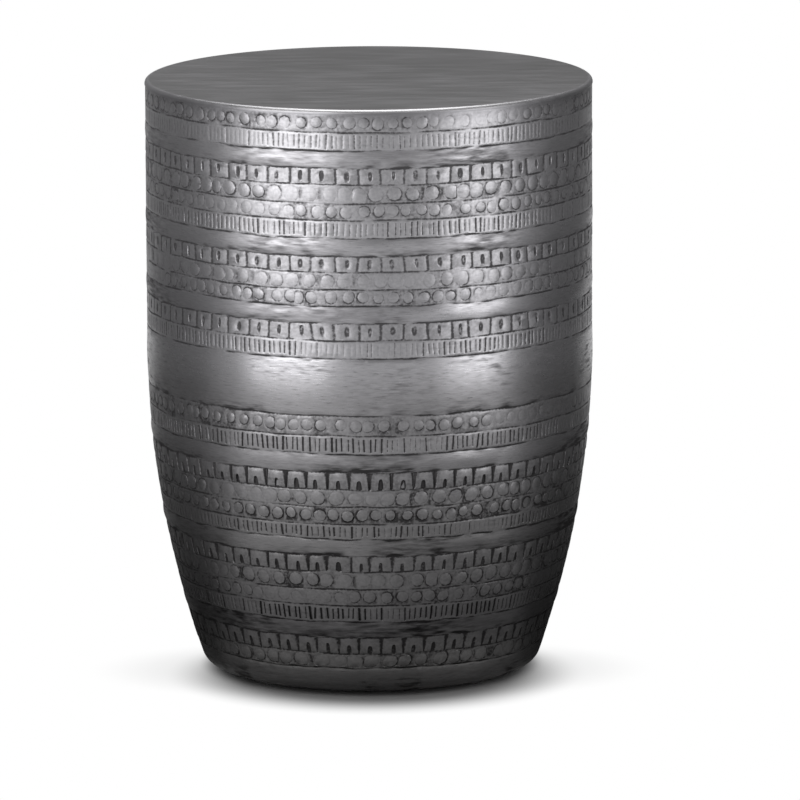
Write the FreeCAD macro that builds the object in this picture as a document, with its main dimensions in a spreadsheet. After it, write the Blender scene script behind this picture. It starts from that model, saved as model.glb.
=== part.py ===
import FreeCAD, Part
import math
import os
import Sketcher

# Drum side table: a rolled upper shell and a spun lower shell meet at the waist. A spun plate on a
# board closes the top, three inner rings stiffen the thin sheet, and four glides carry the drum.
# Millimetres, +Z up, origin on the floor under the middle of the drum.

doc = FreeCAD.newDocument("drum_side_table")

# Driving dimensions: name, value, what it measures
DIMENSIONS = (
    ("table_height", 508, "floor to the top of the plate"),
    ("drum_diameter", 380, "outside of the straight upper shell"),
    ("drum_wall", 1.6, "sheet of both shells"),
    ("belly_start", 283, "height where the wall starts to draw in"),
    ("seam_rise", 15.6, "joint of the two shells above the start of the belly"),
    ("base_diameter", 264, "flat of the base, inside the rounded toe"),
    ("toe_radius", 13.5, "outside of the rounded toe"),
    ("flange_width", 30, "flat flange turned in under the toe"),
    ("upper_bands", 14, "count of bands between the rim and the joint"),
    ("waist_band", 48.6, "plain band below the joint"),
    ("lower_bands", 15, "count of bands between the plain waist and the toe"),
    ("toe_band", 26.4, "upper edge of the plain toe band, above the floor"),
    ("line_radius", 0.5, "nose of the tool that chased the lines between bands"),
    ("top_sheet", 2, "sheet of the top plate"),
    ("rim_overhang", 0.5, "how far the plate stands proud of the wall"),
    ("lip_depth", 4, "turned-down rim of the plate, from its top"),
    ("edge_radius", 2.4, "rounding of the plate's outer edge"),
    ("board_thickness", 12, "board under the plate"),
    ("board_gap", 0.8, "room between the board and the wall"),
    ("fit_gap", 0.3, "room between an inner ring and the wall"),
    ("angle_leg", 25, "legs of the rim ring's angle section"),
    ("angle_thickness", 3, "metal of the rim ring"),
    ("hoop_overlap", 15, "waist hoop above and below the joint"),
    ("hoop_thickness", 3, "metal of the waist hoop"),
    ("base_ring_thickness", 3, "metal of the base ring"),
    ("base_ring_inset", 1.5, "base ring inside both edges of the flange"),
    ("top_screw_count", 8, "count of screws into the board"),
    ("top_screw_diameter", 4, "shank of a screw into the board"),
    ("top_screw_bite", 9, "how far a screw goes into the board"),
    ("top_head_diameter", 8, "pan head of a screw into the board"),
    ("top_head_height", 2.6, "pan head of a screw into the board"),
    ("top_washer_diameter", 11, "washer under a pan head"),
    ("top_washer_thickness", 1, "washer under a pan head"),
    ("glide_count", 4, "count of glides"),
    ("glide_turn", 45, "angle of the first glide from +X, in degrees"),
    ("glide_diameter", 22, "moulded glide"),
    ("glide_height", 4, "glide, and so the flange above the floor"),
    ("glide_chamfer", 0.8, "bottom edge of a glide"),
    ("glide_screw_diameter", 4, "shank of a glide's machine screw"),
    ("glide_head_diameter", 7.6, "countersunk head"),
    ("glide_head_height", 1.9, "countersunk head"),
    ("glide_head_recess", 0.9, "head above the floor"),
    ("glide_screw_end", 1.2, "screw past the nut"),
    ("glide_washer_diameter", 9, "washer on the base ring"),
    ("glide_washer_thickness", 0.8, "washer on the base ring"),
    ("nut_flats", 7, "nut across its flats"),
    ("nut_height", 3.2, "nut on a glide's screw"),
    ("hole_gap", 0.25, "room round a screw in a clearance hole"),
    ("thread_gap", 0.15, "room round a screw in the nut or the board"),
)

sheet = doc.addObject("Spreadsheet::Sheet", "dims")
for row, (alias, size, meaning) in enumerate(DIMENSIONS, start=1):
    sheet.set(f"A{row}", meaning)
    sheet.set(f"B{row}", str(size))
    sheet.setAlias(f"B{row}", alias)
doc.recompute()

# Places shared by pieces that meet
DRUM_R = "(dims.drum_diameter / 2)"
INSIDE_R = f"({DRUM_R} - dims.drum_wall)"
PLATE_R = f"({DRUM_R} + dims.rim_overhang)"
RING_R = f"({INSIDE_R} - dims.fit_gap)"
BASE_R = "(dims.base_diameter / 2)"
MOUTH_R = f"({BASE_R} - dims.flange_width)"
RIM_Z = "(dims.table_height - dims.lip_depth)"
BOARD_TOP = "(dims.table_height - dims.top_sheet)"
BOARD_BOTTOM = f"({BOARD_TOP} - dims.board_thickness)"
LEG_BOTTOM = f"({BOARD_BOTTOM} - dims.angle_thickness)"
SEAM_Z = "(dims.belly_start + dims.seam_rise)"
WAIST_Z = f"({SEAM_Z} - dims.waist_band)"
FLANGE_TOP = "(dims.glide_height + dims.drum_wall)"
BASE_RING_TOP = f"({FLANGE_TOP} + dims.base_ring_thickness)"
NUT_BOTTOM = f"({BASE_RING_TOP} + dims.glide_washer_thickness)"
NUT_TOP = f"({NUT_BOTTOM} + dims.nut_height)"
TOP_SCREW_PITCH = f"({RING_R} - (dims.angle_leg + dims.angle_thickness) / 2)"
TOP_SCREW_R = "(dims.top_screw_diameter / 2)"
GLIDE_PITCH = f"({BASE_R} - dims.flange_width / 2)"
GLIDE_SCREW_R = "(dims.glide_screw_diameter / 2)"

# Sketch numbering: the axes, the first borrowed edge, and the points of a side, arc or circle
LEVEL_AXIS = -1
UPRIGHT_AXIS = -2
BORROWED_EDGE = -3
START = 1
END = 2
MIDDLE = 3
ORIGIN = (LEVEL_AXIS, START)

WHOLE_TURN = 360
SUBPARTS = []


def value(expression):
    """The number that an expression on the sheet gives."""
    return float(sheet.evalExpression(expression))


def new_body(label):
    """An empty body that is handed out as one sub-part."""
    body = doc.addObject("PartDesign::Body", label)
    body.Label = label
    SUBPARTS.append(body)
    return body


def origin_feature(body, role):
    """The body's own plane or axis with that role."""
    return next(f for f in body.Origin.OriginFeatures if f.Role == role)


def sketch_on(body, role, name, height=None):
    """A sketch on one of the body's own planes, lifted to a bound height where one is given."""
    sketch = body.newObject("Sketcher::SketchObject", name)
    sketch.AttachmentSupport = [(origin_feature(body, role), "")]
    sketch.MapMode = "FlatFace"
    if height:
        sketch.setExpression("AttachmentOffset.Base.z", height)
    return sketch


def bind(sketch, expression, kind, *where):
    """A dimension on the sketch that follows an expression."""
    index = sketch.addConstraint(Sketcher.Constraint(kind, *where, value(expression)))
    sketch.setExpression(f"Constraints[{index}]", expression)


def place(sketch, side, point, across, up):
    """Ties a point of a side to a place given by two expressions. One that is 0 puts it on that axis."""
    if across == "0":
        sketch.addConstraint(Sketcher.Constraint("PointOnObject", side, point, UPRIGHT_AXIS))
    else:
        bind(sketch, across, "DistanceX", *ORIGIN, side, point)
    if up == "0":
        sketch.addConstraint(Sketcher.Constraint("PointOnObject", side, point, LEVEL_AXIS))
    else:
        bind(sketch, up, "DistanceY", *ORIGIN, side, point)


def outline(sketch, corners):
    """A closed straight-sided outline whose corners are pairs of expressions, across and up."""
    points = [FreeCAD.Vector(value(across), value(up), 0) for across, up in corners]
    count = len(points)
    sides = [
        sketch.addGeometry(Part.LineSegment(points[i], points[(i + 1) % count]))
        for i in range(count)
    ]
    for i, (across, up) in enumerate(corners):
        joined = (sides[i - 1], END, sides[i], START)
        sketch.addConstraint(Sketcher.Constraint("Coincident", *joined))
        place(sketch, sides[i], START, across, up)


def bound_circle(sketch, radius, across, up):
    """A circle of a bound radius at a bound place."""
    middle = FreeCAD.Vector(value(across), value(up), 0)
    circle = sketch.addGeometry(Part.Circle(middle, FreeCAD.Vector(0, 0, 1), value(radius)))
    bind(sketch, radius, "Radius", circle)
    place(sketch, circle, MIDDLE, across, up)


def turn(body, kind, sketch, axis="V_Axis"):
    """A Revolution or Groove of the sketch through a whole turn."""
    feature = body.newObject(f"PartDesign::{kind}", kind.lower())
    feature.Profile = sketch
    feature.ReferenceAxis = (sketch, [axis])
    feature.Angle = WHOLE_TURN
    return feature


def repeat(body, feature, count):
    """The feature again, evenly round the drum's axis."""
    doc.recompute()
    pattern = body.newObject("PartDesign::PolarPattern", "pattern")
    pattern.Originals = [feature]
    pattern.Axis = (origin_feature(body, "Z_Axis"), [""])
    pattern.Angle = WHOLE_TURN
    pattern.setExpression("Occurrences", count)
    body.Tip = pattern


def turned_piece(label, corners):
    """A ring or disc turned about the drum's axis."""
    body = new_body(label)
    sketch = sketch_on(body, "XZ_Plane", "section")
    outline(sketch, corners)
    turn(body, "Revolution", sketch)
    return body


def drill(body, radius, pitch, count, first_angle="0"):
    """Round holes straight through along Z, evenly spaced on a pitch circle."""
    doc.recompute()
    sketch = sketch_on(body, "XY_Plane", "hole_place")
    if first_angle == "0":
        bound_circle(sketch, radius, pitch, "0")
    else:
        bound_circle(sketch, radius, f"{pitch} * cos({first_angle})", f"{pitch} * sin({first_angle})")
    hole = body.newObject("PartDesign::Pocket", "hole")
    hole.Profile = sketch
    hole.Type = "ThroughAll"
    hole.SideType = "Symmetric"
    repeat(body, hole, count)


def swing(body, angle):
    """Turns the whole body about the drum's axis by a bound angle."""
    body.Placement = FreeCAD.Placement(
        FreeCAD.Vector(), FreeCAD.Rotation(FreeCAD.Vector(0, 0, 1), value(angle))
    )
    body.setExpression("Placement.Rotation.Angle", angle)


def fastener_group(label, corners, pitch, count, first_angle="0"):
    """Like turned fasteners on a pitch circle. Corners are outwards from each one's own axis, and up."""
    body = new_body(label)
    sketch = sketch_on(body, "XZ_Plane", "section")
    outline(sketch, [(f"({pitch} + {out})", up) for out, up in corners])
    ends = [FreeCAD.Vector(value(pitch), value(corners[i][1]), 0) for i in (0, -1)]
    axis = sketch.addGeometry(Part.LineSegment(*ends), True)
    place(sketch, axis, START, pitch, corners[0][1])
    place(sketch, axis, END, pitch, corners[-1][1])
    repeat(body, turn(body, "Revolution", sketch, "Axis0"), count)
    swing(body, first_angle)


def make_top_plate():
    """Spun disc with a turned-down rim. The rim's lower edge stands on the upper shell."""
    body = turned_piece(
        "top_plate",
        [
            ("0", BOARD_TOP),
            (INSIDE_R, BOARD_TOP),
            (INSIDE_R, RIM_Z),
            (PLATE_R, RIM_Z),
            (PLATE_R, "dims.table_height"),
            ("0", "dims.table_height"),
        ],
    )
    doc.recompute()
    disc = body.Tip
    top = value("dims.table_height")
    rim = [
        f"Edge{i}"
        for i, edge in enumerate(disc.Shape.Edges, start=1)
        if isinstance(edge.Curve, Part.Circle)
        and math.isclose(edge.Curve.Center.z, top)
        and math.isclose(edge.Curve.Radius, value(PLATE_R))
    ]
    rounding = body.newObject("PartDesign::Fillet", "rim_rounding")
    rounding.Base = (disc, rim)
    rounding.setExpression("Radius", "dims.edge_radius")


def make_top_board():
    """Round board bonded under the plate, with the holes that its screws bite into."""
    edge = f"({INSIDE_R} - dims.board_gap)"
    board = turned_piece(
        "top_board",
        [("0", BOARD_BOTTOM), (edge, BOARD_BOTTOM), (edge, BOARD_TOP), ("0", BOARD_TOP)],
    )
    doc.recompute()
    sketch = sketch_on(board, "XY_Plane", "pilot_place", BOARD_BOTTOM)
    bound_circle(sketch, f"{TOP_SCREW_R} + dims.thread_gap", TOP_SCREW_PITCH, "0")
    pilot = board.newObject("PartDesign::Pocket", "pilot")
    pilot.Profile = sketch
    pilot.setExpression("Length", "dims.top_screw_bite + dims.thread_gap")
    pilot.Reversed = True
    repeat(board, pilot, "dims.top_screw_count")


def make_rim_ring():
    """Rolled angle inside the mouth: one leg down the wall, one leg in under the board."""
    wall_leg = f"({RING_R} - dims.angle_thickness)"
    leg_end = f"({RING_R} - dims.angle_leg)"
    leg_foot = f"({BOARD_BOTTOM} - dims.angle_leg)"
    ring = turned_piece(
        "rim_ring",
        [
            (leg_end, LEG_BOTTOM),
            (wall_leg, LEG_BOTTOM),
            (wall_leg, leg_foot),
            (RING_R, leg_foot),
            (RING_R, BOARD_BOTTOM),
            (leg_end, BOARD_BOTTOM),
        ],
    )
    drill(ring, f"{TOP_SCREW_R} + dims.hole_gap", TOP_SCREW_PITCH, "dims.top_screw_count")


def make_top_fasteners():
    """Pan-head screws up through the ring into the board, each on a washer."""
    washer_bottom = f"({LEG_BOTTOM} - dims.top_washer_thickness)"
    head_bottom = f"({washer_bottom} - dims.top_head_height)"
    tip = f"({BOARD_BOTTOM} + dims.top_screw_bite)"
    washer_bore = f"({TOP_SCREW_R} + dims.hole_gap)"
    washer_edge = "dims.top_washer_diameter / 2"
    head_edge = "dims.top_head_diameter / 2"
    fastener_group(
        "top_screws",
        [
            ("0", head_bottom),
            (head_edge, head_bottom),
            (head_edge, washer_bottom),
            (TOP_SCREW_R, washer_bottom),
            (TOP_SCREW_R, f"({tip} - {TOP_SCREW_R})"),
            ("0", tip),
        ],
        TOP_SCREW_PITCH,
        "dims.top_screw_count",
    )
    fastener_group(
        "top_washers",
        [
            (washer_bore, washer_bottom),
            (washer_edge, washer_bottom),
            (washer_edge, LEG_BOTTOM),
            (washer_bore, LEG_BOTTOM),
        ],
        TOP_SCREW_PITCH,
        "dims.top_screw_count",
    )


def make_upper_shell():
    """Rolled tube from the joint to the rim, with the lines chased round it between its bands."""
    shell = turned_piece(
        "upper_shell",
        [(INSIDE_R, SEAM_Z), (DRUM_R, SEAM_Z), (DRUM_R, RIM_Z), (INSIDE_R, RIM_Z)],
    )
    doc.recompute()
    lines = sketch_on(shell, "XZ_Plane", "chased_lines")
    step = f"({RIM_Z} - {SEAM_Z}) / dims.upper_bands"
    for band in range(int(value("dims.upper_bands")) + 1):
        bound_circle(lines, "dims.line_radius", DRUM_R, f"{SEAM_Z} + {step} * {band}")
    turn(shell, "Groove", lines)


def make_lower_shell():
    """Spun half: a short straight collar, one long arc for the belly, a small arc for the toe and the
    flange turned in under it, all of one sheet."""
    shell = new_body("lower_shell")
    section = sketch_on(shell, "XZ_Plane", "section")
    wall = value("dims.drum_wall")
    drum = value(DRUM_R)
    base = value(BASE_R)
    start = value("dims.belly_start")
    toe = value("dims.toe_radius")
    lift = value("dims.glide_height")
    seam = value(SEAM_Z)
    mouth = value(MOUTH_R)
    # The belly is upright where it starts and runs on into the toe, which gives its radius
    draw_in = drum - base
    drop = start - lift - toe
    belly = (draw_in**2 + drop**2 - toe**2) / (2 * (draw_in - toe))
    belly_middle = FreeCAD.Vector(drum - belly, start, 0)
    toe_middle = FreeCAD.Vector(base, lift + toe, 0)
    lean = math.atan2(-drop, base - belly_middle.x)
    out_of_page = FreeCAD.Vector(0, 0, 1)

    def arc(middle, radius, begin, end):
        circle = Part.Circle(middle, out_of_page, radius)
        return section.addGeometry(Part.ArcOfCircle(circle, begin, end))

    def side(begin, end):
        return section.addGeometry(
            Part.LineSegment(FreeCAD.Vector(*begin, 0), FreeCAD.Vector(*end, 0))
        )

    down = -math.pi / 2
    collar_out = side((drum, seam), (drum, start))
    belly_out = arc(belly_middle, belly, lean, 0)
    toe_out = arc(toe_middle, toe, down, lean)
    flange_under = side((base, lift), (mouth, lift))
    flange_edge = side((mouth, lift), (mouth, lift + wall))
    flange_over = side((mouth, lift + wall), (base, lift + wall))
    toe_in = arc(toe_middle, toe - wall, down, lean)
    belly_in = arc(belly_middle, belly - wall, lean, 0)
    collar_in = side((drum - wall, start), (drum - wall, seam))
    joint = side((drum - wall, seam), (drum, seam))

    for where in (
        (collar_out, END, belly_out, END),
        (belly_out, START, toe_out, END),
        (toe_out, START, flange_under, START),
        (flange_over, END, toe_in, START),
        (toe_in, END, belly_in, START),
        (belly_in, END, collar_in, START),
    ):
        section.addConstraint(Sketcher.Constraint("Tangent", *where))
    for where in (
        (flange_under, END, flange_edge, START),
        (flange_edge, END, flange_over, START),
        (collar_in, END, joint, START),
        (joint, END, collar_out, START),
        (belly_out, MIDDLE, belly_in, MIDDLE),
    ):
        section.addConstraint(Sketcher.Constraint("Coincident", *where))
    for upright in (collar_out, flange_edge, collar_in):
        section.addConstraint(Sketcher.Constraint("Vertical", upright))
    for level in (flange_under, flange_over, joint):
        section.addConstraint(Sketcher.Constraint("Horizontal", level))
    place(section, collar_out, START, DRUM_R, SEAM_Z)
    place(section, toe_out, START, BASE_R, "dims.glide_height")
    bind(section, "dims.belly_start", "DistanceY", *ORIGIN, belly_out, END)
    bind(section, MOUTH_R, "DistanceX", *ORIGIN, flange_under, END)
    bind(section, INSIDE_R, "DistanceX", *ORIGIN, joint, START)
    bind(section, FLANGE_TOP, "DistanceY", *ORIGIN, flange_over, START)
    bind(section, "dims.toe_radius", "Radius", toe_out)
    bind(section, "dims.toe_radius - dims.drum_wall", "Radius", toe_in)
    turn(shell, "Revolution", section)
    doc.recompute()

    lines = sketch_on(shell, "XZ_Plane", "chased_lines")
    bound_circle(lines, "dims.line_radius", DRUM_R, SEAM_Z)
    lines.addExternal(section.Name, f"Edge{belly_out + 1}")
    step = f"({WAIST_Z} - dims.toe_band) / dims.lower_bands"
    for band in range(int(value("dims.lower_bands")) + 1):
        up = f"{WAIST_Z} - {step} * {band}"
        across = drum - belly + math.sqrt(belly**2 - (start - value(up)) ** 2)
        middle = FreeCAD.Vector(across, value(up), 0)
        circle = lines.addGeometry(Part.Circle(middle, out_of_page, value("dims.line_radius")))
        bind(lines, "dims.line_radius", "Radius", circle)
        bind(lines, up, "DistanceY", *ORIGIN, circle, MIDDLE)
        lines.addConstraint(Sketcher.Constraint("PointOnObject", circle, MIDDLE, BORROWED_EDGE))
    turn(shell, "Groove", lines)
    drill(
        shell,
        f"{GLIDE_SCREW_R} + dims.hole_gap",
        GLIDE_PITCH,
        "dims.glide_count",
        "dims.glide_turn",
    )


def make_waist_hoop():
    """Rolled flat hoop behind the joint, over both shells."""
    foot = f"({SEAM_Z} - dims.hoop_overlap)"
    head = f"({SEAM_Z} + dims.hoop_overlap)"
    inner = f"({RING_R} - dims.hoop_thickness)"
    turned_piece("waist_hoop", [(inner, foot), (RING_R, foot), (RING_R, head), (inner, head)])


def make_base_ring():
    """Flat ring on the flange, which the glides are bolted through."""
    inner = f"({MOUTH_R} + dims.base_ring_inset)"
    outer = f"({BASE_R} - dims.base_ring_inset)"
    ring = turned_piece(
        "base_ring",
        [(inner, FLANGE_TOP), (outer, FLANGE_TOP), (outer, BASE_RING_TOP), (inner, BASE_RING_TOP)],
    )
    drill(
        ring,
        f"{GLIDE_SCREW_R} + dims.hole_gap",
        GLIDE_PITCH,
        "dims.glide_count",
        "dims.glide_turn",
    )


def make_glides():
    """Moulded glides under the flange, each countersunk for its screw from below."""
    edge = "(dims.glide_diameter / 2)"
    bore = f"({GLIDE_SCREW_R} + dims.hole_gap)"
    recess = "(dims.glide_head_diameter / 2 + dims.hole_gap)"
    for index in range(int(value("dims.glide_count"))):
        glide = turned_piece(
            f"base_glide_{index + 1}",
            [
                (recess, "0"),
                (f"({edge} - dims.glide_chamfer)", "0"),
                (edge, "dims.glide_chamfer"),
                (edge, "dims.glide_height"),
                (bore, "dims.glide_height"),
                (bore, "(dims.glide_head_recess + dims.glide_head_height)"),
                (recess, "dims.glide_head_recess"),
            ],
        )
        angle = f"(dims.glide_turn + {WHOLE_TURN} / dims.glide_count * {index})"
        glide.setExpression("Placement.Base.x", f"{GLIDE_PITCH} * cos({angle})")
        glide.setExpression("Placement.Base.y", f"{GLIDE_PITCH} * sin({angle})")


def make_glide_fasteners():
    """Countersunk screws from below, with a washer and a nut on the base ring."""
    head_edge = "(dims.glide_head_diameter / 2)"
    screw_top = f"({NUT_TOP} + dims.glide_screw_end)"
    washer_bore = f"({GLIDE_SCREW_R} + dims.hole_gap)"
    washer_edge = "(dims.glide_washer_diameter / 2)"
    fastener_group(
        "glide_screws",
        [
            ("0", "dims.glide_head_recess"),
            (head_edge, "dims.glide_head_recess"),
            (GLIDE_SCREW_R, "(dims.glide_head_recess + dims.glide_head_height)"),
            (GLIDE_SCREW_R, screw_top),
            ("0", screw_top),
        ],
        GLIDE_PITCH,
        "dims.glide_count",
        "dims.glide_turn",
    )
    fastener_group(
        "glide_washers",
        [
            (washer_bore, BASE_RING_TOP),
            (washer_edge, BASE_RING_TOP),
            (washer_edge, NUT_BOTTOM),
            (washer_bore, NUT_BOTTOM),
        ],
        GLIDE_PITCH,
        "dims.glide_count",
        "dims.glide_turn",
    )
    nuts = new_body("glide_nuts")
    sketch = sketch_on(nuts, "XY_Plane", "hexagon", NUT_BOTTOM)
    corner = "dims.nut_flats / sqrt(3)"
    sides = 6
    angles = [(i + 0.5) * WHOLE_TURN / sides for i in range(sides)]
    outline(sketch, [(f"{GLIDE_PITCH} + {corner} * cos({a})", f"{corner} * sin({a})") for a in angles])
    bound_circle(sketch, f"{GLIDE_SCREW_R} + dims.thread_gap", GLIDE_PITCH, "0")
    nut = nuts.newObject("PartDesign::Pad", "nut")
    nut.Profile = sketch
    nut.setExpression("Length", "dims.nut_height")
    repeat(nuts, nut, "dims.glide_count")
    swing(nuts, "dims.glide_turn")


make_top_plate()
make_top_board()
make_rim_ring()
make_top_fasteners()
make_upper_shell()
make_waist_hoop()
make_lower_shell()
make_base_ring()
make_glides()
make_glide_fasteners()
doc.recompute()

# Nothing is written unless every feature worked and every cut took metal away
for item in doc.Objects:
    if "Invalid" in item.State or "Error" in item.State:
        raise RuntimeError(f"{item.Label} did not build: {item.State}")
    if item.TypeId in ("PartDesign::Pocket", "PartDesign::Groove"):
        if not item.Shape.Volume < item.BaseFeature.Shape.Volume:
            raise RuntimeError(f"{item.Label} cuts nothing")
for body in SUBPARTS:
    if body.Shape.isNull() or not body.Shape.isValid():
        raise RuntimeError(f"{body.Label} has no valid shape")

os.makedirs("parts", exist_ok=True)
for body in SUBPARTS:
    body.Shape.exportStep(f"parts/{body.Label}.step")
    print(body.Label, len(body.Shape.Solids), round(body.Shape.Volume, 1))
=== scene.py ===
import math

import bpy
import numpy as np
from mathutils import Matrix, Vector


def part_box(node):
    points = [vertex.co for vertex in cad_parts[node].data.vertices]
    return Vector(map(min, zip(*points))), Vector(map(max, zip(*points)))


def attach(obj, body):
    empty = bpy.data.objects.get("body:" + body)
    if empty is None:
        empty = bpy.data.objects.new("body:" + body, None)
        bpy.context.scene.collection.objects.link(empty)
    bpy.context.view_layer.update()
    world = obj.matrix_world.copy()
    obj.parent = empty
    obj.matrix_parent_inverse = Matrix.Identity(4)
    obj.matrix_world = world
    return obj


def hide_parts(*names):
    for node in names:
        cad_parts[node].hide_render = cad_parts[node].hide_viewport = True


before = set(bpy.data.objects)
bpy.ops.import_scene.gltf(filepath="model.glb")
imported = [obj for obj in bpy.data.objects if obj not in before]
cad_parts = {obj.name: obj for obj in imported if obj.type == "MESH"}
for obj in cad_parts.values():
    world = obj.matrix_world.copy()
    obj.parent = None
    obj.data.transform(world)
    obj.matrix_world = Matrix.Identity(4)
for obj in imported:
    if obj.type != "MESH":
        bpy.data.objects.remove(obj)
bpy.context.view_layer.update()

# Upper shell: the straight upper half of the drum, aluminium sheet rolled to a hoop. Its bands are
# chased and punched by hand, so no two marks are alike. The sheet is then blackened and rubbed back,
# which leaves the dark only in the marks. Each band is a ring of its own, and the rings stack up.
MM = 0.001
upper_low, upper_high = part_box("upper_shell")
drum_radius = (upper_high.x - upper_low.x) / 2 / MM
shell_top = upper_high.z / MM
seam = upper_low.z / MM

# In mm: the sheet, the height where the belly starts and its arc, half a chased line's width and its depth
wall = 1.6
belly_start = 283.0
belly_radius = 827.8
line_half = 1.1
line_depth = 0.4

# How much black is left in a chased line and on the back of the sheet, and how far rolled sheet gives way
line_dark = 1.6
back_dark = 0.2
rolled_give = 1.0

# Kind of each band from the rim down, its height in mm and how hard it was struck
upper_bands = [
    ("beads", 15.0, 1.0), ("ticks", 15.4, 0.36), ("plain", 14.6, 0.8), ("boxes", 14.0, 0.8),
    ("coins", 15.5, 0.9), ("beads", 14.1, 0.95), ("ticks", 15.4, 0.65), ("plain", 15.0, 1.15),
    ("boxes", 13.5, 0.78), ("coins", 14.7, 0.5), ("beads", 13.8, 0.95), ("plain", 14.6, 0.85),
    ("boxes", 14.5, 0.68), ("ticks", 15.3, 0.65),
]


def wander(angle, seed, slowest, fastest, size):
    """A smooth closed wave round the drum: cosines of slowest to fastest turns with random weights and
    phases, the slow ones strongest, scaled so that its spread is size."""
    draw = np.random.default_rng(seed)
    turns = np.arange(slowest, fastest + 1)
    weight = draw.normal(size=turns.size) / np.sqrt(turns)
    phase = draw.uniform(0, 2 * np.pi, turns.size)
    wave = np.cos(np.multiply.outer(angle, turns) + phase) @ weight
    return size * wave / np.sqrt((weight ** 2).sum() / 2)


def wall_radius(height):
    """Outside radius of the drum at a height: upright above the belly, and below it one arc that starts
    upright and draws in towards the foot."""
    drop = np.clip(belly_start - height, 0, None)
    return drum_radius - belly_radius + np.sqrt(belly_radius ** 2 - drop ** 2)


def turned(angle, radius, height):
    """Points at an angle, radius and height round the drum's axis. Angle 0 is at the back, and seen from
    outside it grows to the right."""
    return np.stack(np.broadcast_arrays(-radius * np.sin(angle), radius * np.cos(angle), height), -1)


def on_wall(angle, height, relief):
    """Points of the drum's outside, moved out along the wall's normal by relief and by the shallow dents
    that beating leaves: two waves round the drum that trade places with height."""
    dent = 0.1
    lean = np.arctan(wall_radius(height + 0.5) - wall_radius(height - 0.5))
    first_wave = wander(angle, 5, 3, 19, dent) * np.cos(height / 31)
    second_wave = wander(angle, 6, 3, 19, dent) * np.sin(height / 23)
    out = relief + (first_wave + second_wave)
    return turned(angle, wall_radius(height) + out * np.cos(lean), height - out * np.sin(lean))


def chased_line(edge, angle):
    """A line walked round the drum with a blunt tool: its height wanders, and so does the force of the
    blows, so that it thins out where the tool skipped. The waves hang on the line's own height, so the
    two bands that meet there agree. On a shell's trimmed edge it is straighter, and under the plate faint."""
    seed = round(10 * edge)
    trimmed = np.isclose(edge, [shell_top, seam]).any()
    stray = 0.06 if trimmed else 0.3
    under_plate = 0.1 if np.isclose(edge, shell_top) else 1.0
    height = edge + wander(angle, seed, 3, 45, stray)
    force = np.clip(0.85 + wander(angle, seed + 1, 4, 90, 0.38), 0.1, 1.3)
    return height, force * under_plate


def struck(count, seed):
    """How hard each of the marks round a band was struck, from faint to full: a slow wave round the drum,
    pushed to its ends by a logistic step, so that some stretches are worn nearly smooth."""
    faint = 0.25
    wave = wander(2 * np.pi * np.arange(count) / count, seed, 2, 9, 1.0)
    return faint + (1 - faint) / (1 + np.exp(-4 * (wave + 0.85)))


def punch_cells(count, side):
    """A row of count square cells of side by side faces. For each point: the cell, its place across and
    up the cell from -1 to 1, its ring from 0 in the middle to 1 on the border, and its turn round the
    middle. Square rings of faces laid out as circles give round marks on a regular grid."""
    column = np.arange(count * side)
    shape = (side + 1, column.size)
    across = np.broadcast_to(2 * (column % side) / side - 1, shape)
    upward = np.broadcast_to(np.linspace(-1, 1, side + 1)[:, None], shape)
    ring = np.maximum(abs(across), abs(upward))
    return column // side, across, upward, ring, np.arctan2(upward, across)


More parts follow.
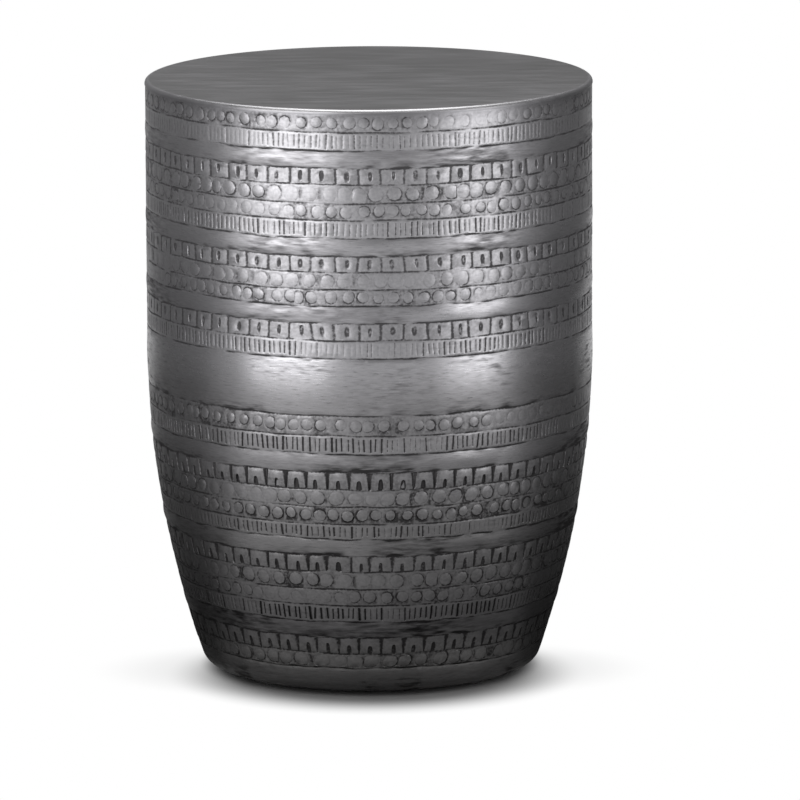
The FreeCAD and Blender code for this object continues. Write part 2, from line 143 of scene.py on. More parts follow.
def round_marks(length, height, seed, pitch, radius, lift, dome, cut, overlap):
    """Discs struck with a ring punch, one to a cell. Pitch is their spacing, lift their height above the
    middle of the band, dome the rise of the disc and cut the depth round it, all in mm. From the middle
    out: the disc, its edge, the cut of the punch, the cut's outer lip, and flat sheet to the cell's
    border. The punch leans, so the cut is deepest and darkest on one side. That side is random, but mostly
    the lower right, away from the light, so the dark crescent there is partly painted shade. The spacing
    is judged by eye, so it slips to and fro along the row. Where neighbours overlap, the border bows into
    an arc and is cut too."""
    draw = np.random.default_rng(seed)
    count = round(length / pitch)
    cell, across, upward, ring, turn = punch_cells(count, 8)
    width = length / count
    room = height / 2 - line_half
    force = struck(count, seed) * draw.uniform(0.6, 1.2, count)
    bow = draw.uniform(-1, 1, count) * overlap
    slip = wander(2 * np.pi * np.arange(count) / count, seed + 7, 5, count // 3, 1.6)
    border = np.arange(count) * width + (slip + np.roll(slip, 1)) / 2
    next_border = np.append(border[1:], border[0] + length)
    size = radius * draw.uniform(0.88, 1.07, count)[cell]
    middle_x = (cell + 0.5) * width + (slip + draw.normal(0, 0.5, count))[cell]
    middle_y = height / 2 + lift + draw.normal(0, 0.35, count)[cell]
    oval = 1 + 0.05 * np.cos(2 * turn + draw.uniform(0, 2 * np.pi, count)[cell])

    rings = np.arange(5) / 4
    reach = size * oval * np.interp(ring, rings, [0, 0.87, 1.0, 1.1, 1.2])
    spare = 0.1 + 0.4 * (1 - ring)
    y = np.clip(middle_y + reach * np.sin(turn), line_half + spare, height - line_half - spare)
    y = np.where(ring == 1, height / 2 + upward * room, y)
    arc = 1 - 2 * ((y - height / 2) / room) ** 2
    left = border[cell] + bow[cell] * arc
    right = next_border[cell] + np.roll(bow, -1)[cell] * arc
    x = np.clip(middle_x + reach * np.cos(turn), left + spare, right - spare)
    x = np.where(ring == 1, left + (right - left) * (across + 1) / 2, x)

    # The punch's lean: random, but mostly to the lower right, away from the light, so the dark crescent it
    # gives is partly painted shade
    lean = draw.normal(-0.9, 1.2, count)[cell]
    bite_and_painted_shade = np.clip(0.72 + 0.5 * np.cos(turn - lean), 0.25, 1.2) * force[cell]
    relief = np.interp(ring, rings, [1, 0.85, 0, 0, 0]) * dome * (0.4 + 0.6 * force[cell])
    relief = relief - cut * bite_and_painted_shade * np.interp(ring, rings, [0, 0, 1, 0.05, 0])
    dark = bite_and_painted_shade * np.interp(ring, rings, [0.12, 0.24, 1.8, 0.85, 0.2])
    between = (ring == 1) * (abs(across) == 1)
    crossed = between * np.clip(abs(bow[cell]) - 0.4, 0, 0.8) * (1 - upward ** 2)
    crossed_dark = 1.4
    grime = (ring == 1) * np.clip(draw.normal(0, 0.45, count), 0, 0.8)[cell] * force[cell]
    return x, y, relief - cut * crossed, dark + crossed_dark * crossed + grime


def beads(length, height, seed):
    """Small ring-punched beads, 10 mm across and 12.7 mm apart, a little above the middle of the band."""
    return round_marks(
        length, height, seed, pitch=12.7, radius=5.1, lift=0.35, dome=0.05, cut=0.22, overlap=0.3)


def coins(length, height, seed):
    """Large ring-punched discs, 13 mm across and 14.6 mm apart, that crowd and overlap like pebbles."""
    return round_marks(
        length, height, seed, pitch=14.6, radius=6.35, lift=0.0, dome=0.12, cut=0.24, overlap=1.5)


def ticks(length, height, seed):
    """Upright cuts of a narrow chisel, 4.7 mm apart. Each has five columns of points: two lips, two on the
    floor, and one on the swollen land beside it. Its rows are the band's edge, the end of the cut, the
    floor, and the same again. Every few cuts one is struck deeper and right across the band."""
    draw = np.random.default_rng(seed)
    pitch, swelling, depth = 4.7, 0.06, 0.36
    count = round(length / pitch)
    mark = np.arange(5 * count) // 5
    place = np.arange(5 * count) % 5
    width = length / count
    deep = np.cumsum(draw.uniform(0.12, 0.32, count)) % 1 < 0.22
    force = struck(count, seed) * draw.uniform(0.4, 1.1, count)
    force = np.where(deep, 1.25 * np.clip(force + 0.3, 0, 1), force)
    cut_width = draw.uniform(0.95, 1.5, count) * (0.7 + 0.6 * force)
    shift = np.clip(draw.normal(0, 0.5, count), -0.9, 0.9)
    end = np.where(deep, draw.uniform(0.2, 0.7, count), draw.uniform(0.7, 1.8, count))
    tip = np.where(deep, draw.uniform(0.2, 0.7, count), draw.uniform(0.7, 1.8, count))
    lean = draw.normal(0, 0.035, count)

    low = np.full(count, line_half)
    foot, head = line_half + end, height - line_half - tip
    ramp = 0.5
    rows = [low, foot, foot + ramp, np.full(count, height / 2), head - ramp, head, height - low]
    floor = np.array([0, 0, 1, 1, 1, 0, 0.0])[:, None]
    y = np.stack(rows)[:, mark]
    side = np.array([-0.5, -0.17, 0.17, 0.5, 0])[place]
    on_land = place == 4
    x = (mark + 0.5) * width + shift[mark] + side * cut_width[mark] + on_land * width / 2
    x = x + lean[mark] * (y - height / 2)
    on_floor = ((place == 1) | (place == 2)) * floor
    swell = np.array([0, 0.5, 1, 1, 1, 0.5, 0.0])[:, None]
    relief = swelling * on_land * swell - depth * force[mark] * on_floor
    dark = force[mark] * (1.7 * on_floor + 0.3 * ~on_land * floor)
    return x, y, relief, dark


def plain(length, height, seed):
    """A smooth band, rolled a little proud: half a wave of 0.4 mm from line to line. Dark is left along its
    lines in patches that fade into the band, further from the lower one. The pad left a film on the rest
    too, in slow waves round the drum, and the thinner the wider the band is."""
    columns = 480
    bulge = 0.4
    usual_height = 15
    across = np.arange(columns) * length / columns
    place = np.concatenate([[0], np.linspace(0.06, 0.94, max(7, round(height / 2))), [1]])[:, None]
    x, place = np.broadcast_arrays(across, place)
    y = line_half + place * (height - 2 * line_half)
    angle = 2 * np.pi * np.arange(columns) / columns
    relief = bulge * np.sin(np.pi * place) * (1 + 0.2 * wander(angle, seed, 5, 30, 1.0))
    low_patch = np.clip(0.4 + wander(angle, seed + 1, 4, 50, 0.55), 0, 1)
    high_patch = np.clip(wander(angle, seed + 2, 4, 50, 0.6), 0, 0.8)
    low_fade = 1.6 + 0.1 * height
    high_fade = 1.8
    film_wave = wander(angle, seed + 284, 1, 6, 0.26)
    film = np.clip(0.2 + film_wave, 0, 0.7) * (usual_height / height) ** 2
    dark = film + low_patch * np.exp(-y / low_fade) + 0.7 * high_patch * np.exp((y - height) / high_fade)
    return x, y, relief, dark


def boxes(length, height, seed):
    """Squares 19.5 mm apart, each with a slot punched in it. From the middle out: the floor of the slot as
    an ellipse, its lip, which is raised most at the bottom, the edge of the square, and the floor of the
    cut between squares, which lies along the left and right of the border."""
    draw = np.random.default_rng(seed)
    pitch, slot_half_width, slot_half_height, lip_rise, cut, cut_dark = 19.5, 1.7, 4.3, 0.13, 0.5, 2.6
    count = round(length / pitch)
    cell, across, upward, ring, turn = punch_cells(count, 8)
    width = length / count
    room = height / 2 - line_half
    start = np.arange(count) * width + draw.normal(0, 0.9, count)
    slant = draw.normal(0, 0.05, count)
    gap = draw.uniform(1.2, 1.9, count)
    force = draw.uniform(0.8, 1.15, count) * (0.7 + 0.3 * struck(count, seed))

    rings = np.arange(5) / 4
    slot = np.interp(ring, rings, [0, 0.8, 1.35, 1.35, 1.35])
    slot_x = slot_half_width * draw.uniform(0.75, 1.2, count)[cell] * slot * np.cos(turn)
    slot_y = slot_half_height * draw.uniform(0.75, 1.1, count)[cell] * slot * np.sin(turn)
    slot_y = np.clip(slot_y + draw.normal(0.6, 0.5, count)[cell], 0.9 - room, room - 0.9)
    edge = np.where(ring > 0, ring, 1)
    square_x, square_y = across / edge, upward / edge
    inset = np.where(square_x < 0, gap[cell], np.roll(gap, -1)[cell])
    blend = np.interp(ring, rings, [0, 0, 0, 1, 1])
    y = blend * square_y * (room - 0.25) + (1 - blend) * slot_y
    y = height / 2 + np.where(ring == 1, upward * room, y)
    left = start[cell] + slant[cell] * (y - height / 2)
    right = np.append(start[1:], start[0] + length)[cell] + np.roll(slant, -1)[cell] * (y - height / 2)
    half = (right - left) / 2
    drift = draw.normal(0, 0.9, count)[cell]
    x = blend * square_x * (half - inset) + (1 - blend) * (slot_x + drift)
    x = (left + right) / 2 + np.where(ring == 1, across * half, x)

    lip = lip_rise * (1 - np.sin(turn)) * (ring == 0.5)
    relief = np.interp(ring, rings, [-0.5, -0.5, 0, -0.15, -0.1]) * force[cell] + lip
    dark = np.interp(ring, rings, [0, 2.2, 0.2, 0.25, 0.1]) * force[cell]
    dark = dark + (ring == 0) * draw.uniform(0.2, 1.8, count)[cell]
    between = (ring == 1) & (abs(across) == 1)
    relief = np.where(between, -cut * force[cell], relief)
    return x, y, relief, np.where(between, cut_dark * force[cell], dark)


def ring_mesh(name, points, dark, outer_rows):
    """A closed ring from points[row, column]: rows run up the outside and back down the inside, columns
    run round the drum, and both close on themselves. For baking, the ring is cut into folds that lie one
    above the other, with most of the height given to the outside."""
    rows, columns = points.shape[:2]
    number = np.arange(rows * columns).reshape(rows, columns)
    ahead = np.roll(number, -1, axis=1)
    faces = np.stack([number, ahead, np.roll(ahead, -1, axis=0), np.roll(number, -1, axis=0)], -1)
    mesh = bpy.data.meshes.new(name)
    mesh.from_pydata((points.reshape(-1, 3) * MM).tolist(), [], faces.reshape(-1, 4).tolist())

    rise = np.linalg.norm(np.diff(points[:outer_rows], axis=0), axis=-1).mean(axis=1)
    outer_share = 0.85
    margin = 0.02
    outside = np.concatenate([[0], np.cumsum(rise)]) / rise.sum() * outer_share
    inside = np.linspace(outer_share, 1, rows - outer_rows + 2)[1:]
    level = margin + (1 - 2 * margin) * np.concatenate([outside, inside])
    folds = max(1, round(math.sqrt(2 * np.pi * drum_radius * outer_share / rise.sum())))
    first = np.ceil(np.arange(folds + 1) * columns / folds).astype(int)
    fold = np.arange(columns) * folds // columns
    along = (np.arange(columns) - first[fold]) / np.diff(first)[fold]
    step = 1 / np.diff(first)[fold]
    corner_u = margin / 10 + (1 - margin / 5) * np.stack([along, along + step, along + step, along], -1)
    corner_v = np.stack([level[:-1], level[:-1], level[1:], level[1:]], -1)
    corner_u = np.broadcast_to(corner_u, (rows, columns, 4))
    corner_v = (fold[None, :, None] + corner_v[:, None, :]) / folds
    bake_map = mesh.uv_layers.new(name="OFBake")
    bake_map.data.foreach_set("uv", np.stack([corner_u, corner_v], -1).astype(np.float32).ravel())

    tarnish = mesh.attributes.new("tarnish", "FLOAT", "POINT")
    tarnish.data.foreach_set("value", dark.astype(np.float32).ravel())
    mesh.polygons.foreach_set("use_smooth", np.ones(rows * columns, bool))
    mesh.set_sharp_from_angle(angle=math.radians(24))
    piece = bpy.data.objects.new(name, mesh)
    bpy.context.scene.collection.objects.link(piece)
    return piece


def band_piece(name, kind, low, high, seed, blow, give):
    """One band of the drum between two chased lines: the band's marks are laid out flat, in mm along and
    up, stretched between the wandering lines and wrapped on the wall. The back of the sheet is plain.
    Blow is how hard the band was struck, 1 being usual, and makes its marks deeper and darker alike. Give
    is how far the sheet gave way under the blows, 1 being usual, and makes them deeper only."""
    length = 2 * np.pi * wall_radius((low + high) / 2)
    x, y, relief, dark = kind(length, high - low, seed)
    relief, dark = blow * give * relief, blow * dark
    angle = 2 * np.pi * np.concatenate([x[:1], x, x[-1:]]) / length
    place = np.concatenate([np.zeros_like(x[:1]), y / (high - low), np.ones_like(x[:1])])
    low_line, low_force = chased_line(low, angle)
    high_line, high_force = chased_line(high, angle)
    relief = np.concatenate([-line_depth * low_force[:1], relief, -line_depth * high_force[-1:]])
    dark = np.concatenate([line_dark * low_force[:1], dark, line_dark * high_force[-1:]])
    outside = on_wall(angle, low_line + place * (high_line - low_line), relief)

    back_step = 30
    back = np.linspace(1, 0, 2 + round((high - low) / back_step))[:, None]
    back_angle = np.broadcast_to(angle[:1], (back.size, angle.shape[1]))
    back_height = low_line[:1] + back * (high_line[-1:] - low_line[:1])
    inside = turned(back_angle, wall_radius(back_height) - wall, back_height)
    dark = np.concatenate([dark, np.full(back_angle.shape, back_dark)])
    return ring_mesh(name, np.concatenate([outside, inside]), dark, outside.shape[0])


def linear(code):
    """Linear colour with full alpha from an sRGB hex code, by the sRGB curve."""
    part = np.array([int(code[i:i + 2], 16) for i in (1, 3, 5)]) / 255
    part = np.where(part <= 0.04045, part / 12.92, ((part + 0.055) / 1.055) ** 2.4)
    return (*part.tolist(), 1.0)


def add_node(tree, kind, inputs=None, **settings):
    """Adds one shader node. Settings are its properties; an input is linked where it is given a socket
    and set where it is given a value."""
    node = tree.nodes.new(kind)
    for name, value in settings.items():
        setattr(node, name, value)
    for name, value in (inputs or {}).items():
        if isinstance(value, bpy.types.NodeSocket):
            tree.links.new(value, node.inputs[name])
        else:
            node.inputs[name].default_value = value
    return node


def bare_material(name):
    """A material, its emptied node tree, and in it the place on the piece, in metres."""
    material = bpy.data.materials.new(name)
    material.use_nodes = True
    tree = material.node_tree
    tree.nodes.clear()
    return material, tree, add_node(tree, "ShaderNodeTexCoord").outputs["Object"]


def spread(size_mm):
    """Scale of a pattern in a tree that reads metres, from the size of one of its spots in mm."""
    return 1 / (size_mm * MM)


# Height in mm and colour of the rubbed metal, from the foot to the rim. It darkens towards the foot, partly
# in the finish and partly as painted shade; the pale step at the very bottom of the toe is painted light,
# and the darker step just under the plate is painted shade.
tones_with_painted_shade = [
    (0, "#8e8d8d"), (15, "#686767"), (35, "#5a5959"), (60, "#4d4c4d"), (105, "#646364"), (150, "#6f6e6f"),
    (210, "#858486"), (260, "#868587"), (290, "#9b9a9d"), (335, "#959497"), (390, "#9d9c9f"),
    (494, "#9d9c9f"), (504, "#858487"),
]


def antiqued_sheet(name, brushed):
    """Aluminium sheet, blackened and rubbed back with a pad that ran round the drum. The eye gets a soft
    grey gloss with a fine mottle, dull black in the marks, smears beside them, and a drum that darkens
    towards its foot, partly in its finish and partly as painted shade, with painted light at the very
    bottom of the toe and painted shade just under the plate. Brushed sheet has level streaks that catch
    the light. Streaks and mottle are a few millimetres wide, coarser than a pad's own lines, so that they
    show."""
    material, tree, place = bare_material(name)
    streak_scale = (spread(8), spread(8), spread(0.9))
    streak_place = add_node(tree, "ShaderNodeMapping", {"Vector": place, "Scale": streak_scale}).outputs[0]
    streaks = add_node(
        tree, "ShaderNodeTexNoise",
        {"Vector": streak_place, "Scale": 1.0, "Detail": 5.0, "Roughness": 0.6}).outputs[0]
    smear_scale = (spread(15), spread(15), spread(2.8))
    smear_place = add_node(tree, "ShaderNodeMapping", {"Vector": place, "Scale": smear_scale}).outputs[0]
    smear = add_node(
        tree, "ShaderNodeTexNoise", {"Vector": smear_place, "Scale": 1.0, "Detail": 5.0}).outputs[0]
    cloud_scale = (spread(60), spread(60), spread(20))
    cloud_place = add_node(tree, "ShaderNodeMapping", {"Vector": place, "Scale": cloud_scale}).outputs[0]
    clouds = add_node(
        tree, "ShaderNodeTexNoise", {"Vector": cloud_place, "Scale": 1.0, "Detail": 3.0}).outputs[0]
    grain = add_node(
        tree, "ShaderNodeTexNoise", {"Vector": place, "Scale": spread(2.4), "Detail": 4.0}).outputs[0]
    lines = streaks if brushed else grain

    # Tone by height: it holds the painted shade towards the foot and under the plate, and the painted light
    # at the toe's bottom
    height = add_node(tree, "ShaderNodeSeparateXYZ", {"Vector": place}).outputs["Z"]
    share = add_node(tree, "ShaderNodeMath", {0: height, 1: 1 / (shell_top * MM)}, operation="MULTIPLY")
    ramp = add_node(tree, "ShaderNodeValToRGB", {"Fac": share.outputs[0]})
    while len(ramp.color_ramp.elements) < len(tones_with_painted_shade):
        ramp.color_ramp.elements.new(1.0)
    for element, (level, tone) in zip(ramp.color_ramp.elements, tones_with_painted_shade):
        element.position = level / shell_top
        element.color = linear(tone)

    tarnish = add_node(tree, "ShaderNodeAttribute", attribute_name="tarnish").outputs["Fac"]
    broken = add_node(
        tree, "ShaderNodeMapRange",
        {"Value": smear if brushed else grain, "From Min": 0.35, "From Max": 0.65,
         "To Min": 0.2 if brushed else 0.45, "To Max": 1.4 if brushed else 1.2})
    in_marks = add_node(
        tree, "ShaderNodeMath", {0: tarnish, 1: broken.outputs[0]}, operation="MULTIPLY", use_clamp=True)
    smear_edge = add_node(
        tree, "ShaderNodeMapRange",
        {"Value": smear, "From Min": 0.48, "From Max": 0.7, "To Max": 0.6 if brushed else 0.45})
    smear_patch = add_node(
        tree, "ShaderNodeMapRange", {"Value": clouds, "From Min": 0.42, "From Max": 0.64})
    smears = add_node(
        tree, "ShaderNodeMath", {0: smear_edge.outputs[0], 1: smear_patch.outputs[0]}, operation="MULTIPLY")
    dark = add_node(
        tree, "ShaderNodeMath", {0: in_marks.outputs[0], 1: smears.outputs[0]}, operation="MAXIMUM")
    if brushed:
        scratches = add_node(
            tree, "ShaderNodeMapRange",
            {"Value": streaks, "From Min": 0.6, "From Max": 0.7, "To Max": 0.45})
        dark = add_node(
            tree, "ShaderNodeMath", {0: dark.outputs[0], 1: scratches.outputs[0]}, operation="MAXIMUM")

    shimmer = add_node(
        tree, "ShaderNodeMapRange",
        {"Value": lines, "From Min": 0.3, "From Max": 0.7,
         "To Min": 1.1 if brushed else 1.05, "To Max": 0.81 if brushed else 0.87})
    rubbed = add_node(
        tree, "ShaderNodeMix", {0: 1.0, 6: ramp.outputs[0], 7: shimmer.outputs[0]},
        data_type="RGBA", blend_type="MULTIPLY")
    foot_black = "#6c6b6b" if brushed else "#7a7979"
    rim_black = "#949393"
    black_left = add_node(
        tree, "ShaderNodeMix", {0: share.outputs[0], 6: linear(foot_black), 7: linear(rim_black)},
        data_type="RGBA")
    colour = add_node(
        tree, "ShaderNodeMix", {0: dark.outputs[0], 6: rubbed.outputs[2], 7: black_left.outputs[2]},
        data_type="RGBA", blend_type="MULTIPLY")
    gloss = add_node(
        tree, "ShaderNodeMapRange",
        {"Value": streaks, "From Min": 0.3, "From Max": 0.7,
         "To Min": 0.25 if brushed else 0.31, "To Max": 0.34 if brushed else 0.4})
    rough = add_node(
        tree, "ShaderNodeMath", {0: dark.outputs[0], 1: 0.5 if brushed else 0.3, 2: gloss.outputs[0]},
        operation="MULTIPLY_ADD")
    bump = add_node(
        tree, "ShaderNodeBump",
        {"Height": lines, "Strength": 0.06 if brushed else 0.08, "Distance": 0.1 * MM})
    shader = add_node(
        tree, "ShaderNodeBsdfPrincipled",
        {"Base Color": colour.outputs[2], "Metallic": 1.0, "Roughness": rough.outputs[0],
         "Normal": bump.outputs[0]})
    add_node(tree, "ShaderNodeOutputMaterial", {"Surface": shader.outputs[0]})
    return material


punched_sheet = antiqued_sheet("antiqued_aluminium_punched", brushed=False)
brushed_sheet = antiqued_sheet("antiqued_aluminium_brushed", brushed=True)


def fit_band(piece, node, brushed):
    """Gives a band its sheet and puts it in the place of its shell."""
    piece.data.materials.append(brushed_sheet if brushed else punched_sheet)
    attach(piece, "root")
    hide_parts(node)


makers = {"beads": beads, "coins": coins, "ticks": ticks, "plain": plain, "boxes": boxes}


def stack_bands(half, bands, top, bottom, seed, give):
    """Stacks the bands of one half of the drum from its top down. The last one takes up what is left.
    Give is that of the sheet under the punch; a plain band is only rolled."""
    edge = top
    for count, (kind, height, blow) in enumerate(bands, start=1):
        next_edge = bottom if count == len(bands) else edge - height
        name = f"{half}_band_{count:02d}_{kind}"
        band_give = rolled_give if kind == "plain" else give
        band = band_piece(name, makers[kind], next_edge, edge, seed + count, blow, band_give)
        fit_band(band, f"{half}_shell", kind == "plain")
        edge = next_edge


upper_seed = 100
stack_bands("upper", upper_bands, shell_top, seam, upper_seed, rolled_give)


# Lower shell: the lower half of the drum, the same sheet spun to a belly that draws in to a rounded toe,
# with its edge turned in underneath as a flange. It has a wide plain waist under the seam, punched
# bands down to the toe, and blocks with arches in place of the boxes.
flange_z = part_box("lower_shell")[0].z / MM

# In mm: the toe's rounding and the radius of its middle, the mouth of the flange and the top of the toe
toe_radius = 13.5
toe_centre = 132.0
mouth_radius = 102.0
toe_top = 26.4

# How far the spun sheet, which is softened in the fire first, gives way under the punch
spun_give = 1.5

# Kind of each band from the seam down to the toe, its height in mm and how hard it was struck
lower_bands = [
    ("plain", 48.6, 1.0), ("beads", 17.3, 1.0), ("ticks", 15.5, 1.15), ("plain", 16.0, 1.4),
    ("arches", 14.9, 1.65), ("coins", 15.0, 0.95), ("beads", 15.0, 1.65), ("ticks", 13.2, 0.8),
    ("plain", 15.1, 1.7), ("arches", 14.2, 1.1), ("coins", 15.7, 1.0), ("beads", 14.3, 1.05),
    ("ticks", 15.0, 1.65), ("plain", 14.3, 1.1), ("arches", 14.7, 0.95), ("coins", 13.4, 0.9),
]


def arches(length, height, seed):
    """Blocks 18.3 mm apart, each with a slot that opens downwards and narrows to its head, so that it
    stands like an arch. The cut between blocks is a wedge, wide at the top, so the legs flare. Each block
    has seven columns of points: the floor of the cut, its edge, the slot's edge, two on the slot's floor,
    its other edge and the edge of the next cut. One row runs through the head of the slot."""
    draw = np.random.default_rng(seed)
    pitch, slot_depth, cut_depth, slot_dark, cut_dark = 18.3, 0.55, 0.6, 1.7, 2.3
    at_head = 0.6
    count = round(length / pitch)
    block = np.arange(7 * count) // 7
    place = np.arange(7 * count) % 7
    width = length / count
    force = draw.uniform(0.8, 1.15, count) * (0.7 + 0.3 * struck(count, seed))
    start = np.arange(count) * width + draw.normal(0, 0.8, count)
    end = np.append(start[1:], start[0] + length)
    head = height * draw.uniform(0.5, 0.68, count)

    share = np.array([0, 0.2, 0.4, 0.52, at_head, 0.8, 1.0])[:, None]
    level = line_half + share * (height - 2 * line_half)
    to_head = line_half + share / at_head * (head[block] - line_half)
    from_head = head[block] + (share - at_head) / 0.4 * (height - line_half - head[block])
    by_slot = (place >= 2) & (place <= 5)
    y = np.where(by_slot, np.where(share < at_head, to_head, from_head), level)
    wedge = 1.2 + draw.uniform(0.5, 1.5, count)[block] * share + 0.3 * share ** 6
    next_wedge = np.roll(wedge, -7, axis=1)
    narrowing = (1 - np.clip(share / at_head, 0, 1) ** 2) ** 0.6
    slot = 0.35 + draw.uniform(1.0, 1.8, count)[block] * narrowing
    centre = (start + end)[block] / 2 + draw.normal(0, 0.6, count)[block]
    lip = 0.5
    columns = [
        start[block], start[block] + wedge, centre - slot - lip, centre - 0.7 * slot,
        centre + 0.7 * slot, centre + slot + lip, end[block] - next_wedge,
    ]
    x = np.choose(place, columns)
    in_slot = (share < at_head) & ((place == 3) | (place == 4))
    in_cut = place == 0
    edge = (place == 1) | (place == 6) | ((share < at_head) & ((place == 2) | (place == 5)))
    swell = 0.14 * by_slot * np.clip(5 * np.minimum(share, 1 - share), 0, 1)
    relief = np.where(in_slot, -slot_depth, np.where(in_cut, -cut_depth, swell)) * force[block]
    dark = np.where(in_slot, slot_dark, np.where(in_cut, cut_dark, 0.25 * edge)) * force[block]
    return x, y, relief, dark


makers["arches"] = arches
lower_seed = 200
stack_bands("lower", lower_bands, seam, toe_top, lower_seed, spun_give)


def toe_outline(inset):
    """The toe's section as radius and height, from the mouth of the flange out along it, round the toe
    and up the belly, moved into the metal by inset. The toe's arc meets the belly where their centres
    line up."""
    belly_centre = drum_radius - belly_radius
    meet = math.atan2(belly_start - flange_z - toe_radius, toe_centre - belly_centre)
    turn = np.linspace(-np.pi / 2, -meet, 12)
    along_flange = np.linspace(mouth_radius, toe_centre, 5)[:-1]
    toe_r = toe_centre + (toe_radius - inset) * np.cos(turn)
    toe_z = flange_z + toe_radius + (toe_radius - inset) * np.sin(turn)
    up_z = np.append(np.linspace(toe_z[-1], toe_top - line_half, 7)[1:], toe_top)
    up_r = wall_radius(up_z) - inset
    radius = np.concatenate([along_flange, toe_r, up_r])
    return radius, np.concatenate([np.full(along_flange.size, flange_z + inset), toe_z, up_z])


columns = 480
angle = np.broadcast_to(2 * np.pi * np.arange(columns) / columns, (1, columns))
out_r, out_z = (side[:, None] for side in toe_outline(0))
in_r, in_z = (side[::-1, None] for side in toe_outline(wall))
line_z, line_force = chased_line(toe_top, angle)
near_line = np.clip((out_z - flange_z) / (toe_top - flange_z), 0, 1) ** 4
beaten = wander(angle, 61, 3, 25, 0.12) * np.clip((out_z - flange_z) / toe_radius, 0, 1)
cut = np.zeros_like(out_z)
cut[-1] = line_depth
outside = turned(angle, out_r + beaten - cut * line_force, out_z + near_line * (line_z - toe_top))
inside = turned(angle, in_r, in_z)
patches = np.clip(wander(angle, 62, 4, 40, 0.8), 0, 1)
rise = out_z - flange_z
scuffed = 0.8 * patches * np.exp(-np.maximum(rise - 4, 0) / 7)
round_toe = 0.4 * np.exp(-((rise - 11) / 6) ** 2)
dark = scuffed + round_toe
dark = dark + line_dark * line_force * cut / line_depth
dark = np.concatenate([dark, np.full(inside.shape[:2], back_dark)])
toe = ring_mesh("lower_toe", np.concatenate([outside, inside]), dark, outside.shape[0])
fit_band(toe, "lower_shell", True)


# Waist hoop, rim ring and base ring: flat bar and angle rolled to hoops from mild steel, welded, and
# brushed with black paint. They stand behind the sheet and are seen only from below.
def black_paint():
    """Black paint brushed on steel: half gloss, a little uneven from the brush, and dulled in clouds by
    dust."""
    material, tree, place = bare_material("black_paint_on_steel")
    dust = add_node(
        tree, "ShaderNodeTexNoise", {"Vector": place, "Scale": spread(35), "Detail": 5.0}).outputs[0]
    peel = add_node(
        tree, "ShaderNodeTexNoise", {"Vector": place, "Scale": spread(1.5), "Detail": 2.0}).outputs[0]
    amount = add_node(tree, "ShaderNodeMapRange", {"Value": dust, "From Min": 0.4, "From Max": 0.75})
    colour = add_node(
        tree, "ShaderNodeMix", {0: amount.outputs[0], 6: linear("#161617"), 7: linear("#3a3836")},
        data_type="RGBA")
    rough = add_node(
        tree, "ShaderNodeMapRange",
        {"Value": dust, "From Min": 0.3, "From Max": 0.7, "To Min": 0.38, "To Max": 0.62})
    bump = add_node(tree, "ShaderNodeBump", {"Height": peel, "Strength": 0.2, "Distance": 0.1 * MM})
    shader = add_node(
        tree, "ShaderNodeBsdfPrincipled",
        {"Base Color": colour.outputs[2], "Roughness": rough.outputs[0], "Normal": bump.outputs[0]})
    add_node(tree, "ShaderNodeOutputMaterial", {"Surface": shader.outputs[0]})
    return material


def refinish(node, material):
    """Puts a finish on a piece that keeps its shape from the frame."""
    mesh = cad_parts[node].data
    mesh.materials.clear()
    mesh.materials.append(material)


ring_paint = black_paint()
for node in ("waist_hoop", "rim_ring", "base_ring"):
    refinish(node, ring_paint)


# Top board: a disc of raw MDF, cut on a router and glued under the plate so that the thin sheet does not
# drum or dent. Its lower face shows inside the drum.
def raw_board():
    """Raw MDF: a dull warm brown of pressed fibre, with short pale and dark fibres all over."""
    material, tree, place = bare_material("raw_fibreboard")
    fibre = add_node(
        tree, "ShaderNodeTexNoise", {"Vector": place, "Scale": spread(1.6), "Detail": 6.0}).outputs[0]
    cloud = add_node(
        tree, "ShaderNodeTexNoise", {"Vector": place, "Scale": spread(45), "Detail": 2.0}).outputs[0]
    mixed = add_node(tree, "ShaderNodeMath", {0: cloud, 1: 0.4, 2: fibre}, operation="MULTIPLY_ADD")
    amount = add_node(
        tree, "ShaderNodeMapRange", {"Value": mixed.outputs[0], "From Min": 0.45, "From Max": 0.95})
    colour = add_node(
        tree, "ShaderNodeMix", {0: amount.outputs[0], 6: linear("#8a6a49"), 7: linear("#bd9a70")},
        data_type="RGBA")
    bump = add_node(tree, "ShaderNodeBump", {"Height": fibre, "Strength": 0.25, "Distance": 0.15 * MM})
    rough = add_node(
        tree, "ShaderNodeMapRange",
        {"Value": fibre, "From Min": 0.3, "From Max": 0.7, "To Min": 0.78, "To Max": 0.92})
    shader = add_node(
        tree, "ShaderNodeBsdfPrincipled",
        {"Base Color": colour.outputs[2], "Roughness": rough.outputs[0], "Normal": bump.outputs[0]})
    add_node(tree, "ShaderNodeOutputMaterial", {"Surface": shader.outputs[0]})
    return material


refinish("top_board", raw_board())


# Top plate: a disc of aluminium, spun over a former so that its rim turns down in a soft round. It is
# glued on the board, and its rim stands on the upper shell. Its rim is painted paler, and its crest is
# painted brighter towards the front, as painted highlights.
plate_low, plate_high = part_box("top_plate")
plate_radius = (plate_high.x - plate_low.x) / 2 / MM
plate_top = plate_high.z / MM
plate_bottom = plate_low.z / MM
plate_sheet = 2.0
plate_under = plate_top - plate_sheet
rim_round = 3.6


def plate_outline():
    """The plate's section as radius and height, from near the middle of the upper face out, round the
    rim, down and under the lip, and back along the lower face."""
    innermost = 6
    upper = np.concatenate([np.linspace(innermost, 180, 30), [184, 186.5]])
    turn = np.linspace(np.pi / 2, 0, 9)
    round_r = plate_radius - rim_round + rim_round * np.cos(turn)
    round_z = plate_top - rim_round + rim_round * np.sin(turn)
    lip_inside = drum_radius - wall
    lower = np.linspace(lip_inside, innermost, 6)
    radius = np.concatenate([upper, round_r, [plate_radius, lip_inside], lower])
    upper_z = np.full(upper.size, plate_top)
    lower_z = np.full(lower.size, plate_under)
    height = np.concatenate([upper_z, round_z, [plate_bottom, plate_bottom], lower_z])
    return radius[:, None], height[:, None]


